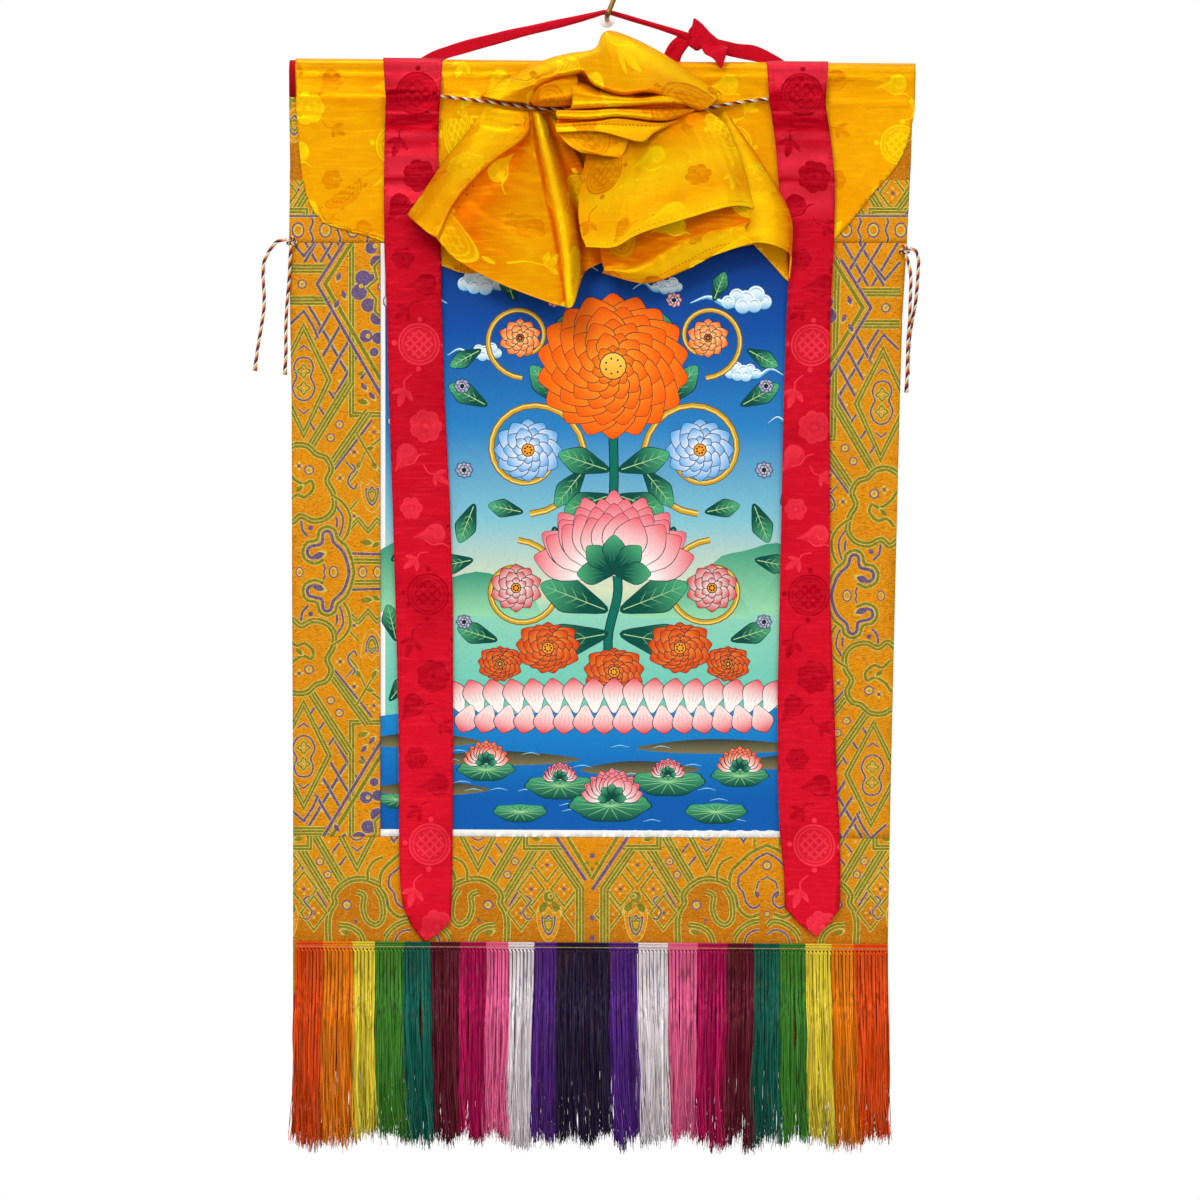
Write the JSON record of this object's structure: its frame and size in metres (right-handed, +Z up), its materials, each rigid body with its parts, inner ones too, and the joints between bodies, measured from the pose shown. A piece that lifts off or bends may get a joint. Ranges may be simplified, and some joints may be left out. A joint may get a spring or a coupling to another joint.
{
  "type": "thangka scroll painting hanging from a wall hook",
  "caption": "Cloth scroll painting in a brocade mounting, with a bunched silk veil, two ribbons, edge ties and a rainbow fringe, hung by its strap from a wall hook.",
  "frame": {"origin": "centre of the wall hook's flange, on the wall's surface", "axes": "+Z up, along the hanging scroll; +Y into the wall, so the scroll faces -Y; +X to the viewer's right"},
  "size_m": [0.6672, 0.0671, 1.166],
  "materials": {
    "gold_brocade": "woven brocade: gold-orange ground with green, violet and cream threads",
    "canvas": "painted canvas, matt",
    "yellow_satin": "figured silk satin, glossy",
    "red_satin": "figured satin ribbon, glossy",
    "red_lining": "plain cotton, matt",
    "wood": "bare turned dowel",
    "brass": "dull antique",
    "cord_thread": "twisted cord of red, gold, white and dark strands",
    "fringe_silk": "loose silk strands in bands of the rainbow's colours"
  },
  "bodies": {
    "root": {"wall_hook": "brass", "hanging_strap": "red_satin", "top_rod": "wood", "foot_rod": "wood", "lining": "red_lining", "brocade_top": "gold_brocade", "brocade_left": "gold_brocade", "brocade_right": "gold_brocade", "brocade_foot": "gold_brocade", "painting": "canvas", "veil": "yellow_satin", "veil_cord": "cord_thread", "ribbon_left": "red_satin", "ribbon_right": "red_satin", "tie_left_knot": "cord_thread", "tie_left_inner": "cord_thread", "tie_left_outer": "cord_thread", "tie_right_knot": "cord_thread", "tie_right_inner": "cord_thread", "tie_right_outer": "cord_thread", "fringe": "fringe_silk"}
  },
  "joints": []
}
